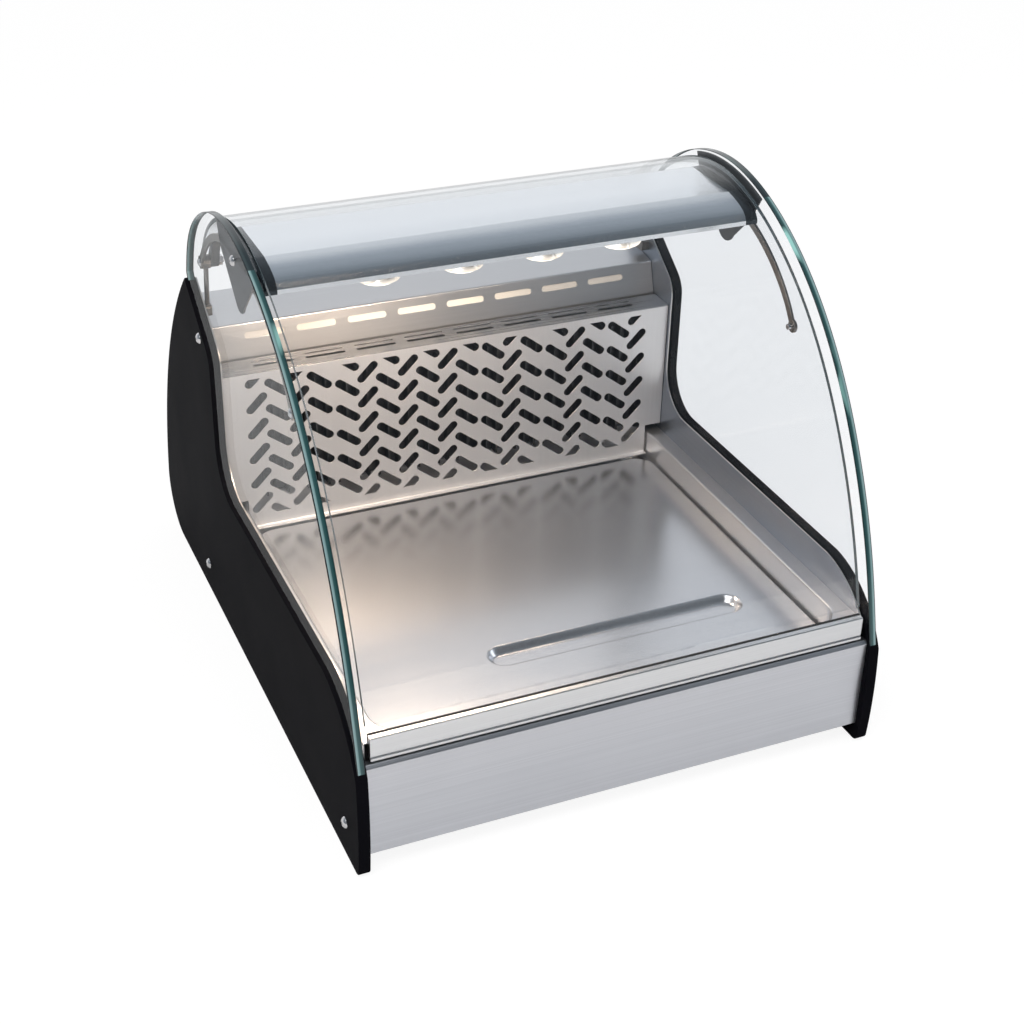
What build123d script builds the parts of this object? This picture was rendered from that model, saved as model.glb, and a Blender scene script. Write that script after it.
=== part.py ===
from build123d import *
import math
import os

os.makedirs("parts", exist_ok=True)

# overall size of the case, front at the low end of Y
width = 560
depth = 718
half_width = width / 2
front = -depth / 2

# side panels, side glass and steel liners
panel_t = 12
glass_t = 8
outer_lip = 2.5
liner_t = 1.5
liner_gap = 1.0
glass_outer = half_width - outer_lip
glass_inner = glass_outer - glass_t
liner_outer = half_width - panel_t
liner_inner = liner_outer - liner_t

# side view heights and distances from the front; heights count from the datum,
# and the panels reach below it by foot_drop, so every piece is saved that much higher
foot_drop = 3
panel_top_front = 112
arm_z = 178
arm_front = 95
upright_y = 455
upright_z = 330
bend_r = 50
tip_y = 540
tip_z = 388
back_y = depth
back_z = 60
foot_y = 660
foot_r = 8
glass_bite = 8
apex_y = 366
apex_z = 511

# front glass
front_glass_t = 5
front_glass_inset = 6
front_glass_gap = 6.5
front_glass_half = glass_inner - front_glass_gap
front_glass_low = 149.3
hinge_y = 518
hinge_z = 412

# base, ledge and well
perf_y = 461
base_z = 17
sheet = 1.2
front_panel_y = 8
front_panel_top = 121
ledge_bottom = 123
ledge_top = 148
ledge_y = 13
ledge_t = 6
ledge_end_gap = 7.5
ledge_half = glass_inner - ledge_end_gap
well_top = 140
well_floor = 102.3
well_flange = 18.5
well_half = liner_inner - well_flange
well_front = 28
well_back = 488
well_r = 28
flange_half = liner_inner
plate_top = 111.5
plate_gap = 2.5
plate_half = well_half - plate_gap
plate_front = well_front + plate_gap
plate_back = perf_y - 7.5
groove_x = 49
groove_y = 134
groove_l = 287
groove_w = 33
groove_d = 7

# rear wall of the display space
perf_bottom = 113
perf_top = 302
perf_half = liner_inner - 0.5
slot_pitch_z = 30.75
slot_step_x = 23.6
slot_gap_x = 31.5
slot_w = 9.6
shelf_back = 496
housing_low_y = shelf_back + 3
housing_y = housing_low_y + 11
housing_z = 339
housing_back_y = 581
housing_back_z = 350
long_slot_pitch = 58.5
long_slot_l = 45
rear_y = 702
rear_bend_z = 84

# canopy, brackets and stays
bracket_t = 2
stay_w = 8
stay_t = 3
stay_x = half_width - 13
canopy_half = half_width - 16.5
canopy_front = 284
canopy_back = 412
canopy_low = 473
canopy_high = 491
lamp_pitch = 87
lamp_x = -12
lamp_y = 313
lamp_r = 26
lamp_neck_r = 21
lamp_neck_h = 4
lens_r = 19
lamp_drop = 13
spacer_y = 335
spacer_z = 486.5
spacer_back_y = 388
spacer_r = 3

# screws
panel_screw_spots = ((492, 338), (530, 34), (39, 36))
panel_shank_r = 2.5
bracket_shank_r = 2
pin_r = 3

# running gaps
turn_gap = 0.3
hole_gap = 0.05


def side(x):
    return Plane(origin=(x, front, 0), x_dir=(0, 1, 0), z_dir=(1, 0, 0))


def spot(x, y, z):
    return Pos(x, front + y, z)


def save(piece, label):
    standing = Pos(0, 0, foot_drop) * piece.part
    standing.label = label
    export_step(standing, "parts/" + label + ".step")


# outline of the clear side glass, as a curve in the side view
with BuildLine() as glass_arc:
    Spline(
        (4, panel_top_front),
        (30, 200),
        (74, 298),
        (142, 395),
        (242, 475),
        (apex_y, apex_z),
        (470, 483),
        (526, 430),
        (tip_y, 395),
    )
glass_curve = glass_arc.wires()[0]


def inset(distance, start, stop, count):
    points = []
    for i in range(count):
        t = start + (stop - start) * i / (count - 1)
        p = glass_curve.position_at(t)
        d = glass_curve.tangent_at(t)
        points.append((p.X + d.Y * distance, p.Y - d.X * distance))
    return points


with BuildSketch() as glass_outline:
    with BuildLine():
        add(glass_curve)
        Line((tip_y, 395), (531, 371))
        Line((531, 371), (upright_y + glass_bite, upright_z - 4))
        Line((upright_y + glass_bite, upright_z - 4), (upright_y + glass_bite, arm_z + bend_r))
        RadiusArc(
            (upright_y + glass_bite, arm_z + bend_r),
            (upright_y - bend_r, arm_z - glass_bite),
            bend_r + glass_bite,
        )
        Line((upright_y - bend_r, arm_z - glass_bite), (arm_front, arm_z - glass_bite))
        Line((arm_front, arm_z - glass_bite), (56, 146))
        Line((56, 146), (4, panel_top_front))
    make_face()

# outline of the side panels
with BuildSketch() as panel_outline:
    with BuildLine():
        Line((2 + foot_r, -foot_drop), (foot_y, -foot_drop))
        ThreePointArc((foot_y, -foot_drop), (702, 14), (back_y, back_z))
        ThreePointArc((back_y, back_z), (650, 256), (tip_y, tip_z))
        Line((tip_y, tip_z), (upright_y, upright_z))
        Line((upright_y, upright_z), (upright_y, arm_z + bend_r))
        RadiusArc((upright_y, arm_z + bend_r), (upright_y - bend_r, arm_z), bend_r)
        Line((upright_y - bend_r, arm_z), (arm_front, arm_z))
        ThreePointArc((arm_front, arm_z), (38, 156), (3, panel_top_front))
        ThreePointArc((3, panel_top_front), (0, 60), (2, foot_r - foot_drop))
        RadiusArc((2, foot_r - foot_drop), (2 + foot_r, -foot_drop), -foot_r)
    make_face()
    fillet(panel_outline.vertices().sort_by_distance((upright_y, upright_z))[0], 30)
    fillet(panel_outline.vertices().sort_by_distance((tip_y, tip_z))[0], 2)

# black side panels, slotted along the inner edge for the glass
for name, x in (("left", -half_width), ("right", half_width - panel_t)):
    groove_x0 = -glass_outer if x < 0 else glass_inner
    with BuildPart() as side_panel:
        with BuildSketch(side(x)):
            add(panel_outline.sketch)
        extrude(amount=panel_t)
        outer_face = side_panel.faces().sort_by(Axis.X)[0 if x < 0 else -1]
        chamfer(outer_face.edges(), 0.8)
        with BuildSketch(side(groove_x0)):
            add(glass_outline.sketch)
        extrude(amount=glass_t, mode=Mode.SUBTRACT)
        with BuildSketch(side(x)):
            with Locations(*panel_screw_spots):
                Circle(panel_shank_r)
        extrude(amount=panel_t, mode=Mode.SUBTRACT)
    save(side_panel, "side_panel_" + name)

# clear side glass standing in the panel slot
for name, x in (("left", -glass_outer), ("right", glass_inner)):
    with BuildPart() as side_glass:
        with BuildSketch(side(x)):
            add(glass_outline.sketch)
            with Locations((spacer_y, spacer_z)):
                Circle(bracket_shank_r, mode=Mode.SUBTRACT)
        extrude(amount=glass_t)
        flats = side_glass.faces().filter_by(Axis.X)
        chamfer(flats.edges().filter_by(GeomType.BSPLINE), 0.6)
    save(side_glass, "side_glass_" + name)

# steel liners on the inner faces of the panels
for name, x in (("left", -liner_outer), ("right", liner_inner)):
    with BuildPart() as liner:
        with BuildSketch(side(x)) as liner_sketch:
            add(panel_outline.sketch)
            offset(amount=-liner_gap)
            with Locations((20 + 580 / 2, base_z + 2 + 400 / 2)):
                Rectangle(580, 400, mode=Mode.INTERSECT)
        extrude(amount=liner_t)
    save(liner, "side_liner_" + name)

# folded base tray that carries the well and the machine space
tray_y0 = front_panel_y + 4
tray_y1 = rear_y - 4
tray_z = base_z + sheet
wall_y0 = 20
wall_y1 = 560
with BuildPart() as tray:
    with BuildSketch(Plane.XY.offset(tray_z)):
        with Locations((0, front + (tray_y0 + tray_y1) / 2)):
            Rectangle(2 * liner_inner, tray_y1 - tray_y0)
    extrude(amount=sheet)
    with BuildSketch(Plane.XY.offset(tray_z)):
        with GridLocations(2 * liner_inner - sheet, 0, 2, 1):
            with Locations((0, front + (wall_y0 + wall_y1) / 2)):
                Rectangle(sheet, wall_y1 - wall_y0)
    extrude(amount=well_top - sheet - tray_z)
save(tray, "base_tray")

# front panel with a rounded top fold and a return along the bottom
front_panel_half = liner_outer
with BuildPart() as front_panel:
    with BuildSketch(side(-front_panel_half)):
        with BuildLine():
            panel_fold = FilletPolyline(
                (front_panel_y + 16, base_z),
                (front_panel_y, base_z),
                (front_panel_y, front_panel_top - 2),
                (front_panel_y + 4, front_panel_top),
                (front_panel_y + 10, front_panel_top),
                radius=1.6,
            )
            offset(panel_fold, amount=sheet, side=Side.RIGHT)
        make_face()
    extrude(amount=2 * front_panel_half)
save(front_panel, "front_panel")

# ledge across the front that carries the front glass
with BuildPart() as ledge:
    with BuildSketch(side(-ledge_half)):
        with BuildLine():
            Polyline(
                (ledge_y + ledge_t, ledge_bottom),
                (ledge_y - 1, ledge_bottom),
                (ledge_y - 1, 125.4),
                (ledge_y + 0.8, 125.4),
                (ledge_y + 0.8, 126.8),
                (ledge_y, 126.8),
                (ledge_y, ledge_top),
                (ledge_y + ledge_t, ledge_top),
                (ledge_y + ledge_t, ledge_bottom),
            )
        make_face()
    extrude(amount=2 * ledge_half)
    chamfer(ledge.edges().filter_by(Axis.X).group_by(Axis.Z)[-1].sort_by(Axis.Y)[0], 0.8)
save(ledge, "glass_ledge")

# dark seal strip behind the ledge, under the edge of the front glass
seal_y0 = ledge_y + ledge_t
seal_t = 3
with BuildPart() as seal:
    with BuildSketch(side(-ledge_half)):
        with Locations((seal_y0 + seal_t / 2, (well_top + ledge_top + 0.8) / 2)):
            Rectangle(seal_t, ledge_top + 0.8 - well_top)
    extrude(amount=2 * ledge_half)
    fillet(seal.edges().filter_by(Axis.X).group_by(Axis.Z)[-1], 1)
save(seal, "ledge_seal")

# pressed well with a flange all round
well_y = front + (well_front + well_back) / 2
well_len = well_back - well_front
flange_back = 502
flange_y = front + (seal_y0 + flange_back) / 2
with BuildPart() as well:
    with BuildSketch(Plane.XY.offset(well_floor - sheet)):
        with Locations((0, well_y)):
            RectangleRounded(2 * well_half + 2 * sheet, well_len + 2 * sheet, well_r + sheet)
    extrude(amount=well_top - well_floor + sheet)
    fillet(well.faces().sort_by(Axis.Z)[0].edges(), 3)
    offset(amount=-sheet, openings=well.faces().sort_by(Axis.Z)[-1])
    with BuildSketch(Plane.XY.offset(well_top - sheet)):
        with Locations((0, flange_y)):
            Rectangle(2 * flange_half, flange_back - seal_y0)
        with Locations((0, well_y)):
            RectangleRounded(2 * well_half, well_len, well_r, mode=Mode.SUBTRACT)
    extrude(amount=sheet)
save(well, "well")

# lift-out floor plate with a turned-down edge and one long finger groove
plate_y = front + (plate_front + plate_back) / 2
plate_len = plate_back - plate_front
plate_low = well_floor + turn_gap
with BuildPart() as plate:
    with BuildSketch(Plane.XY.offset(plate_low)):
        with Locations((0, plate_y)):
            RectangleRounded(2 * plate_half, plate_len, well_r - 4)
    extrude(amount=plate_top - plate_low)
    fillet(plate.faces().sort_by(Axis.Z)[-1].edges(), 2.4)
    offset(amount=-sheet, openings=plate.faces().sort_by(Axis.Z)[0])
    with BuildSketch(Plane.XY.offset(plate_top - groove_d - sheet)):
        with Locations((groove_x, front + groove_y)):
            SlotOverall(groove_l + 2 * sheet, groove_w + 2 * sheet)
    extrude(amount=groove_d)
    with BuildSketch(Plane.XY.offset(plate_top - groove_d)):
        with Locations((groove_x, front + groove_y)):
            SlotOverall(groove_l - 12, groove_w - 12)
    with BuildSketch(Plane.XY.offset(plate_top)):
        with Locations((groove_x, front + groove_y)):
            SlotOverall(groove_l, groove_w)
    loft(mode=Mode.SUBTRACT)
save(plate, "floor_plate")

# perforated air panel: runs of slots that lean left and right in turn
perf_face = Plane(origin=(0, front + perf_y, 0), x_dir=(1, 0, 0), z_dir=(0, -1, 0))
notch_z = well_top + 8
with BuildSketch() as slot_field:
    column_x = -half_width + 50
    for run, columns in enumerate((4, 7, 3, 3, 2)):
        for column in range(columns):
            leans_right = column % 2 == (0 if run == 0 else 1)
            raised = leans_right != (run % 2 == 0)
            top = 281 if raised else 281 - slot_pitch_z / 2
            for row in range(-1, 6):
                z = top - row * slot_pitch_z
                with Locations((column_x, z)):
                    if leans_right:
                        SlotOverall(30, slot_w, rotation=45)
                    else:
                        SlotOverall(33, slot_w, rotation=-37)
            column_x += slot_step_x
        column_x += slot_gap_x - slot_step_x
    slot_z0 = perf_bottom + 14
    slot_z1 = perf_top - 7
    with Locations((0, (slot_z0 + slot_z1) / 2)):
        Rectangle(2 * (perf_half - 18), slot_z1 - slot_z0, mode=Mode.INTERSECT)
with BuildPart() as perf:
    with BuildSketch(perf_face):
        with Locations((0, (perf_bottom + perf_top) / 2)):
            Rectangle(2 * perf_half, perf_top - perf_bottom)
        for sign in (-1, 1):
            with Locations((sign * (perf_half + well_half - 2) / 2, (perf_bottom + notch_z) / 2)):
                Rectangle(perf_half - well_half + 2, notch_z - perf_bottom, mode=Mode.SUBTRACT)
        add(slot_field.sketch, mode=Mode.SUBTRACT)
    extrude(amount=-sheet)
    with BuildSketch(Plane.XY.offset(perf_bottom)):
        with Locations((0, front + perf_y - 2.4)):
            Rectangle(2 * well_half - 4, 2 * (3 + sheet / 2) + 1)
    extrude(amount=sheet)
save(perf, "perforated_panel")

# slotted shelf strip on top of the perforated panel
with BuildPart() as shelf:
    with BuildSketch(Plane.XY.offset(perf_top)):
        with Locations((0, front + (perf_y + shelf_back) / 2)):
            Rectangle(2 * perf_half, shelf_back - perf_y)
        with Locations((0, front + perf_y + 16)):
            with GridLocations(long_slot_pitch, 0, 8, 1):
                SlotOverall(long_slot_l, 5, mode=Mode.SUBTRACT)
        with Locations((0, front + perf_y + 26)):
            with GridLocations(long_slot_pitch, 0, 8, 1):
                SlotOverall(long_slot_l, 2.4, mode=Mode.SUBTRACT)
    extrude(amount=sheet)
    with BuildSketch(Plane.XY.offset(perf_top - 8)):
        with Locations((0, front + shelf_back - sheet / 2)):
            Rectangle(2 * perf_half, sheet)
    extrude(amount=8)
save(shelf, "air_shelf")

# folded cover of the rear housing with one row of long slots
with BuildPart() as housing:
    with BuildSketch(side(-perf_half)):
        with BuildLine():
            cover_fold = FilletPolyline(
                (housing_low_y, 292),
                (housing_low_y, perf_top + 2),
                (housing_y, housing_z),
                (housing_back_y, housing_back_z),
                radius=2.2,
            )
            offset(cover_fold, amount=sheet, side=Side.RIGHT)
        make_face()
    extrude(amount=2 * perf_half)
    slot_face = Plane(
        origin=(0, front + (housing_low_y + housing_y) / 2, (perf_top + 2 + housing_z) / 2),
        x_dir=(1, 0, 0),
        z_dir=(0, -(housing_z - perf_top - 2), housing_y - housing_low_y),
    )
    with BuildSketch(slot_face):
        with Locations((0, 5)):
            with GridLocations(long_slot_pitch, 0, 8, 1):
                SlotOverall(long_slot_l, 7)
    extrude(amount=6, both=True, mode=Mode.SUBTRACT)
save(housing, "rear_housing")

# opal strip that lights the long slots from behind
with BuildPart() as diffuser:
    with BuildSketch(slot_face.offset(-sheet - turn_gap)):
        with Locations((0, 5)):
            Rectangle(2 * (perf_half - 4), 14)
    extrude(amount=-2)
save(diffuser, "slot_diffuser")

# evaporator fixed to the front of the fan plate: upright fins on a core with tube ends
fan_plate_y = 508
fin_count = 42
evap_end_gap = 19.3
evap_half = liner_inner - evap_end_gap
fin_pitch = (2 * evap_half - 2.4) / (fin_count - 1)
evap_y0 = 468
evap_core_y = 480
evap_z0 = 146
evap_z1 = 284
with BuildPart() as evaporator:
    with BuildSketch(Plane.XY.offset(evap_z0)):
        with Locations((0, front + (evap_y0 + evap_core_y) / 2)):
            with GridLocations(fin_pitch, 0, fin_count, 1):
                Rectangle(2.4, evap_core_y - evap_y0)
        with Locations((0, front + (evap_core_y + fan_plate_y) / 2)):
            Rectangle(2 * evap_half, fan_plate_y - evap_core_y)
    extrude(amount=evap_z1 - evap_z0)
    with BuildSketch(Plane.YZ.offset(-evap_half - 8)):
        with Locations((front + 494, (evap_z0 + evap_z1) / 2)):
            with GridLocations(16, 34, 2, 4):
                Circle(4)
    extrude(amount=2 * evap_half + 16)
save(evaporator, "evaporator")

# fan plate behind the evaporator with two round openings
fan_x = 120
fan_z = 215
fan_r = 44
fan_size = 96
with BuildPart() as fan_plate:
    with BuildSketch(Plane(origin=(0, front + fan_plate_y, 0), x_dir=(1, 0, 0), z_dir=(0, -1, 0))):
        with Locations((0, (well_top + 296) / 2)):
            Rectangle(2 * perf_half, 296 - well_top)
        with GridLocations(2 * fan_x, 0, 2, 1):
            with Locations((0, fan_z)):
                Circle(fan_r, mode=Mode.SUBTRACT)
    extrude(amount=-sheet)
    with BuildSketch(Plane.XY.offset(well_top)):
        with Locations((0, front + (flange_back + fan_plate_y) / 2 + 0.6)):
            Rectangle(2 * perf_half, fan_plate_y - flange_back + sheet)
    extrude(amount=sheet)
save(fan_plate, "fan_plate")

# square fan frames with a motor held on four struts
frame_y0 = fan_plate_y + sheet
frame_t = 26
frame_plane = Plane(origin=(0, front + frame_y0, 0), x_dir=(1, 0, 0), z_dir=(0, -1, 0))
with BuildPart() as frames:
    for x in (-fan_x, fan_x):
        with BuildSketch(frame_plane):
            with Locations((x, fan_z)):
                RectangleRounded(fan_size, fan_size, 8)
                Circle(fan_r, mode=Mode.SUBTRACT)
                with GridLocations(fan_size - 12, fan_size - 12, 2, 2):
                    Circle(2.2, mode=Mode.SUBTRACT)
        extrude(amount=-frame_t)
        with BuildSketch(frame_plane.offset(-frame_t + 4)):
            with Locations((x, fan_z)):
                Circle(17)
                Rectangle(2 * fan_r + 2, 5)
                Rectangle(5, 2 * fan_r + 2)
        extrude(amount=-4)
save(frames, "fan_frames")

# fan rotors: a hub with seven pitched blades
blade_count = 7
for name, x in (("left", -fan_x), ("right", fan_x)):
    with BuildPart() as rotor:
        with BuildSketch(frame_plane.offset(-3)):
            with Locations((x, fan_z)):
                Circle(16)
        extrude(amount=-(frame_t - 4 - 3 - turn_gap))
        fillet(rotor.faces().sort_by(Axis.Y)[0].edges(), 2)
        for i in range(blade_count):
            turn = math.radians(360 * i / blade_count)
            blade_plane = Plane(
                origin=(x + 14 * math.cos(turn), front + frame_y0 + 12, fan_z + 14 * math.sin(turn)),
                x_dir=(-math.sin(turn) * 0.8, 0.6, math.cos(turn) * 0.8),
                z_dir=(math.cos(turn), 0, math.sin(turn)),
            )
            with BuildSketch(blade_plane):
                Rectangle(22, 1.6)
            extrude(amount=fan_r - 14 - 3)
    save(rotor, "fan_rotor_" + name)

# canopy housing that follows the front glass
canopy_t = 2
with BuildPart() as canopy:
    with BuildSketch(side(-canopy_half)):
        with BuildLine():
            Spline((canopy_front, canopy_low), (290, 481), (304, 488.5), (324, canopy_high))
            Line((324, canopy_high), (400, canopy_high + 1))
            ThreePointArc((400, canopy_high + 1), (409, canopy_high - 3), (canopy_back, 480))
            Line((canopy_back, 480), (canopy_back, canopy_low))
            Line((canopy_back, canopy_low), (canopy_back - canopy_t, canopy_low))
            Line((canopy_back - canopy_t, canopy_low), (canopy_back - canopy_t, 480))
            Line((canopy_back - canopy_t, 480), (402, canopy_high - canopy_t))
            Line((402, canopy_high - canopy_t), (324, canopy_high - canopy_t))
            Spline((324, canopy_high - canopy_t), (305, 486), (292, 479), (canopy_front + 2.4, canopy_low))
            Line((canopy_front + 2.4, canopy_low), (canopy_front, canopy_low))
        make_face()
    extrude(amount=2 * canopy_half)
save(canopy, "canopy_shell")

# end caps that close the canopy and take the bracket screws
with BuildPart() as caps:
    for x in (-canopy_half, canopy_half - 4):
        with BuildSketch(side(x)):
            with BuildLine():
                Line((canopy_front + 3, canopy_low), (canopy_back - canopy_t, canopy_low))
                Line((canopy_back - canopy_t, canopy_low), (canopy_back - canopy_t, 480))
                Line((canopy_back - canopy_t, 480), (402, canopy_high - canopy_t))
                Line((402, canopy_high - canopy_t), (324, canopy_high - canopy_t))
                Line((324, canopy_high - canopy_t), (305, 485.6))
                Line((305, 485.6), (canopy_front + 3, canopy_low))
            make_face()
            with Locations((spacer_y, spacer_z)):
                Circle(bracket_shank_r, mode=Mode.SUBTRACT)
        extrude(amount=4)
save(caps, "canopy_ends")

# underside of the canopy with a thin lip and four lamp openings
with BuildPart() as canopy_base:
    with BuildSketch(Plane.XY.offset(canopy_low)):
        with Locations((0, front + (canopy_front + canopy_back) / 2)):
            Rectangle(2 * canopy_half, canopy_back - canopy_front)
        with Locations((lamp_x, front + lamp_y)):
            with GridLocations(lamp_pitch, 0, 4, 1):
                Circle(lamp_neck_r, mode=Mode.SUBTRACT)
    extrude(amount=-1.6)
    with BuildSketch(Plane.XY.offset(canopy_low - 1.6)):
        with Locations((0, front + canopy_front + 1), (0, front + canopy_back - 1)):
            Rectangle(2 * canopy_half, 2)
    extrude(amount=-3)
save(canopy_base, "canopy_base")

# lamp bodies: a tapered bowl below the canopy and a neck through its opening
lamp_z = canopy_low - 1.6
with BuildPart() as lamp_rings:
    with BuildSketch(Plane.XY.offset(lamp_z)):
        with Locations((lamp_x, front + lamp_y)):
            with GridLocations(lamp_pitch, 0, 4, 1):
                Circle(lamp_r)
    extrude(amount=-lamp_drop, taper=22)
    with BuildSketch(Plane.XY.offset(lamp_z)):
        with Locations((lamp_x, front + lamp_y)):
            with GridLocations(lamp_pitch, 0, 4, 1):
                Circle(lamp_neck_r)
    extrude(amount=lamp_neck_h)
    with BuildSketch(Plane.XY.offset(lamp_z + lamp_neck_h)):
        with Locations((lamp_x, front + lamp_y)):
            with GridLocations(lamp_pitch, 0, 4, 1):
                Circle(lens_r)
    extrude(amount=-lamp_drop - lamp_neck_h, mode=Mode.SUBTRACT)
save(lamp_rings, "lamp_rings")

# clear lamp lenses, domed at the bottom
with BuildPart() as lenses:
    with Locations((lamp_x, front + lamp_y, lamp_z - lamp_drop - 3)):
        with GridLocations(lamp_pitch, 0, 4, 1):
            Cylinder(lens_r, 9, align=(Align.CENTER, Align.CENTER, Align.MIN))
    fillet(lenses.edges().group_by(Axis.Z)[0], 3)
save(lenses, "lamp_lenses")

# dark brackets between the side glass and the canopy
bracket_edge = inset(3, 0.585, 0.785, 9)
bracket_x = glass_inner - bracket_t
for name, x in (("left", -glass_inner), ("right", bracket_x)):
    with BuildPart() as bracket:
        with BuildSketch(side(x)):
            with BuildLine():
                Spline(*bracket_edge)
                Line(bracket_edge[-1], (414, 472))
                Line((414, 472), (366, 431))
                ThreePointArc((366, 431), (349, 425), (336, 435))
                Line((336, 435), (304, 466))
                Line((304, 466), bracket_edge[0])
            make_face()
            with Locations((spacer_y, spacer_z)):
                Circle(bracket_shank_r, mode=Mode.SUBTRACT)
        extrude(amount=bracket_t)
    save(bracket, "canopy_bracket_" + name)

# spacers that carry the canopy on its brackets
with BuildPart() as spacers:
    for x in (-bracket_x, canopy_half):
        with BuildSketch(side(x)):
            with Locations((spacer_y, spacer_z), (spacer_back_y, spacer_z)):
                Circle(spacer_r)
            with Locations((spacer_y, spacer_z)):
                Circle(bracket_shank_r, mode=Mode.SUBTRACT)
        extrude(amount=bracket_x - canopy_half)
save(spacers, "canopy_spacers")

# curved stays on the inner side of the side glass
stay_points = ((hinge_y, hinge_z), (494, 438), (464, 459), (428, 472), (385, 477), (340, 474))
stay_points = stay_points + ((304, 466), (275, 454), (250, 439), (229, 422), (213, 405), (201, 388))
eye_y = 201
eye_z = 388
for name, x in (("left", -stay_x), ("right", stay_x - stay_t)):
    with BuildPart() as stay:
        with BuildSketch(side(x)) as stay_sketch:
            with BuildLine() as stay_line:
                Spline(*stay_points)
            trace(line_width=stay_w)
            with Locations((eye_y, eye_z), (hinge_y, hinge_z)):
                Circle(7)
            with Locations((eye_y, eye_z), (hinge_y, hinge_z)):
                Circle(pin_r + hole_gap, mode=Mode.SUBTRACT)
        extrude(amount=stay_t)
    save(stay, "stay_" + name)

# dome screws: a low dome head on a short shank
def dome_screw(head_r, head_h, shank_r, shank_l):
    with BuildPart() as screw:
        with BuildSketch(Plane.XZ):
            with BuildLine():
                ThreePointArc((0, head_h), (head_r * 0.72, head_h * 0.7), (head_r, 0))
                Polyline((head_r, 0), (shank_r, 0), (shank_r, -shank_l), (0, -shank_l), (0, head_h))
            make_face()
        revolve(axis=Axis.Z)
        with BuildSketch(Plane.XY.offset(head_h - 1.2)):
            Rectangle(head_r * 0.7, 1)
            Rectangle(1, head_r * 0.7)
        extrude(amount=2, mode=Mode.SUBTRACT)
    return screw.part


facing_left = Rot(0, -90, 0)
facing_right = Rot(0, 90, 0)
panel_screw = dome_screw(6, 3.4, panel_shank_r, 10)
with BuildPart() as panel_screws:
    for y, z in panel_screw_spots:
        add(spot(-half_width, y, z) * facing_left * panel_screw)
        add(spot(half_width, y, z) * facing_right * panel_screw)
save(panel_screws, "panel_screws")

# bracket screws through the side glass and bracket into the canopy ends
bracket_screw = dome_screw(5.5, 3.2, bracket_shank_r, 18)
with BuildPart() as bracket_screws:
    add(spot(-glass_outer, spacer_y, spacer_z) * facing_left * bracket_screw)
    add(spot(glass_outer, spacer_y, spacer_z) * facing_right * bracket_screw)
save(bracket_screws, "bracket_screws")

# screws through the front eyes of the stays
eye_screw = dome_screw(4.6, 2.4, pin_r, 8)
with BuildPart() as stay_screws:
    add(spot(-stay_x, eye_y, eye_z) * facing_left * eye_screw)
    add(spot(stay_x, eye_y, eye_z) * facing_right * eye_screw)
save(stay_screws, "stay_screws")

# hinge posts: a block at the rear end of each stay on a rod down to the liner
block_x = stay_x - stay_t
block_t = 7
rod_x = block_x - block_t / 2
foot_z = 352
with BuildPart() as posts:
    for sign in (-1, 1):
        with BuildSketch(side(sign * block_x if sign < 0 else block_x - block_t)):
            with Locations((hinge_y, hinge_z)):
                Circle(7.5)
                Circle(pin_r + hole_gap, mode=Mode.SUBTRACT)
        extrude(amount=block_t)
        rod_low = (sign * rod_x, front + hinge_y + 9, foot_z + 2)
        rod_high = (sign * rod_x, front + hinge_y + 1.6, hinge_z - 5.5)
        rod_plane = Plane(origin=rod_low, z_dir=Vector(rod_high) - Vector(rod_low))
        with BuildSketch(rod_plane):
            Circle(2.6)
        extrude(amount=(Vector(rod_high) - Vector(rod_low)).length)
        foot_t = liner_inner - rod_x + 3
        with BuildSketch(side(-liner_inner if sign < 0 else liner_inner - foot_t)):
            with Locations((hinge_y + 9, foot_z + 3)):
                RectangleRounded(18, 12, 2.5)
        extrude(amount=foot_t)
save(posts, "hinge_posts")

# hinge bolts: dome head outside, nut inside, the glass clamp turns between
clamp_x = block_x - block_t - turn_gap
clamp_t = 9
nut_t = 4
hinge_bolt = dome_screw(5, 2, pin_r, stay_t + block_t + clamp_t + nut_t + 2 * turn_gap + 1.5)
with BuildPart() as bolts:
    add(spot(-stay_x, hinge_y, hinge_z) * facing_left * hinge_bolt)
    add(spot(stay_x, hinge_y, hinge_z) * facing_right * hinge_bolt)
    nut_x = clamp_x - clamp_t - turn_gap
    for x in (-nut_x, nut_x - nut_t):
        with BuildSketch(side(x)):
            with Locations((hinge_y, hinge_z)):
                RegularPolygon(5.6, 6)
        extrude(amount=nut_t)
save(bolts, "hinge_bolts")

# curved front glass
glass_outside = inset(front_glass_inset, 0.058, 0.938, 30)
glass_inside = inset(front_glass_inset + front_glass_t, 0.058, 0.938, 30)
with BuildPart() as front_glass:
    with BuildSketch(side(-front_glass_half)):
        with BuildLine():
            Spline(*glass_outside)
            Line(glass_outside[-1], glass_inside[-1])
            Spline(*glass_inside)
            Line(glass_inside[0], glass_outside[0])
        make_face()
        with Locations((300, front_glass_low + 200)):
            Rectangle(700, 400, mode=Mode.INTERSECT)
    extrude(amount=2 * front_glass_half)
save(front_glass, "front_glass")

# clamps that hold the rear edge of the front glass on the hinge bolts
clamp_top = inset(front_glass_inset + front_glass_t + hole_gap, 0.905, 0.936, 6)
with BuildPart() as clamps:
    for x in (-clamp_x, clamp_x - clamp_t):
        with BuildSketch(side(x)):
            with BuildLine():
                Spline(*clamp_top)
                Line(clamp_top[-1], (hinge_y + 6.5, hinge_z + 1))
                RadiusArc((hinge_y + 6.5, hinge_z + 1), (hinge_y - 6.5, hinge_z + 1), 6.6)
                Line((hinge_y - 6.5, hinge_z + 1), clamp_top[0])
            make_face()
            with Locations((hinge_y, hinge_z)):
                Circle(6.5)
                Circle(pin_r + turn_gap, mode=Mode.SUBTRACT)
        extrude(amount=clamp_t)
save(clamps, "glass_clamps")

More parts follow.
